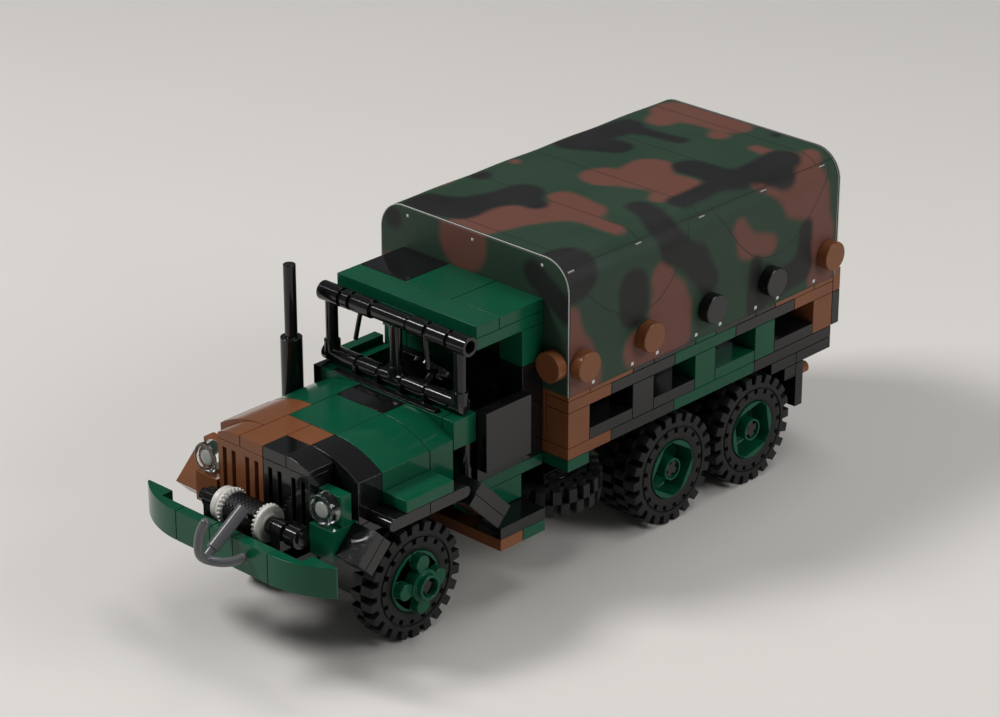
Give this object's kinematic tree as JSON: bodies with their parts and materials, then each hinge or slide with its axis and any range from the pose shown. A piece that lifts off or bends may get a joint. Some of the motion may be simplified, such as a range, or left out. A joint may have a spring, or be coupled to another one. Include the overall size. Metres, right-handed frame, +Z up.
{
  "type": "toy brick-built military cargo truck",
  "caption": "Toy six-wheel cargo truck assembled from plastic bricks in camouflage colours, with a covered bed, open cab, front winch and free-turning wheels.",
  "frame": {"origin": "on the floor under the middle of the truck's overall box", "axes": "+Z up, +Y towards the back along the truck's length, +X towards the truck's left side"},
  "size_m": [0.071, 0.2048, 0.0844],
  "materials": {
    "plastic_green": "glossy moulded",
    "plastic_brown": "glossy moulded",
    "plastic_black": "glossy moulded",
    "plastic_grey": "glossy moulded",
    "plastic_tan": "satin moulded",
    "rubber_black": "matt rubber",
    "clear_lens": "clear moulded",
    "tarp_cloth": "printed matt sheet"
  },
  "bodies": {
    "chassis": {"axles": "plastic_black", "bed_black": "plastic_black", "bed_brown": "plastic_brown", "bed_green": "plastic_green", "bumper": "plastic_green", "bumper_centre": "plastic_green", "cab_back_black": "plastic_black", "cab_back_green": "plastic_green", "cab_roof_black": "plastic_black", "cab_roof_green": "plastic_green", "chassis_black": "plastic_black", "chassis_brown": "plastic_brown", "chassis_green": "plastic_green", "cowl": "plastic_green", "discs_black": "plastic_black", "discs_brown": "plastic_brown", "door_left": "plastic_black", "door_right": "plastic_green", "exhaust": "plastic_black", "fender_flap_brown": "plastic_brown", "fender_flaps": "plastic_black", "fender_hinges": "plastic_black", "fender_tiles": "plastic_green", "grille_black": "plastic_black", "grille_brown": "plastic_brown", "headlight_bracket_brown": "plastic_brown", "headlight_bracket_green": "plastic_green", "headlight_lenses": "clear_lens", "hood_black": "plastic_black", "hood_brown": "plastic_brown", "hood_green": "plastic_green", "hook": "plastic_grey", "mudflaps": "plastic_black", "seats": "plastic_black", "spare_hub": "plastic_black", "spare_tyre": "rubber_black", "steering_wheel": "plastic_black", "tail_lights": "plastic_brown", "tailgate_black": "plastic_black", "tailgate_brown": "plastic_brown", "tarp": "tarp_cloth", "tarp_posts": "plastic_black", "tow_plate": "plastic_black", "winch_drum": "plastic_black", "winch_gears": "plastic_tan", "windscreen_clips": "plastic_black"},
    "wheel_front_left": {"tyre_front_left": "rubber_black", "hub_front_left": "plastic_green"},
    "wheels_mid_left": {"tyres_mid_left": "rubber_black", "hub_mid_left": "plastic_green"},
    "wheels_rear_left": {"tyres_rear_left": "rubber_black", "hub_rear_left": "plastic_green"},
    "wheel_front_right": {"tyre_front_right": "rubber_black", "hub_front_right": "plastic_green"},
    "wheels_mid_right": {"tyres_mid_right": "rubber_black", "hub_mid_right": "plastic_green"},
    "wheels_rear_right": {"tyres_rear_right": "rubber_black", "hub_rear_right": "plastic_green"},
    "windscreen": {"windscreen_frame": "plastic_black"}
  },
  "joints": [
    {"name": "wheel_front_left_spin", "type": "hinge", "parent": "chassis", "child": "wheel_front_left", "pos_m": [0, -0.05265, 0.0152], "axis": [1, 0, 0], "continuous": true},
    {"name": "wheels_mid_left_spin", "type": "hinge", "parent": "chassis", "child": "wheels_mid_left", "pos_m": [0, 0.03535, 0.0152], "axis": [1, 0, 0], "continuous": true},
    {"name": "wheels_rear_left_spin", "type": "hinge", "parent": "chassis", "child": "wheels_rear_left", "pos_m": [0, 0.06735, 0.0152], "axis": [1, 0, 0], "continuous": true},
    {"name": "wheel_front_right_spin", "type": "hinge", "parent": "chassis", "child": "wheel_front_right", "pos_m": [0, -0.05265, 0.0152], "axis": [1, 0, 0], "continuous": true},
    {"name": "wheels_mid_right_spin", "type": "hinge", "parent": "chassis", "child": "wheels_mid_right", "pos_m": [0, 0.03535, 0.0152], "axis": [1, 0, 0], "continuous": true},
    {"name": "wheels_rear_right_spin", "type": "hinge", "parent": "chassis", "child": "wheels_rear_right", "pos_m": [0, 0.06735, 0.0152], "axis": [1, 0, 0], "continuous": true},
    {"name": "windscreen_fold", "type": "hinge", "parent": "chassis", "child": "windscreen", "pos_m": [0, -0.03205, 0.0534], "axis": [1, 0, 0], "range_deg": [0, 80]}
  ]
}
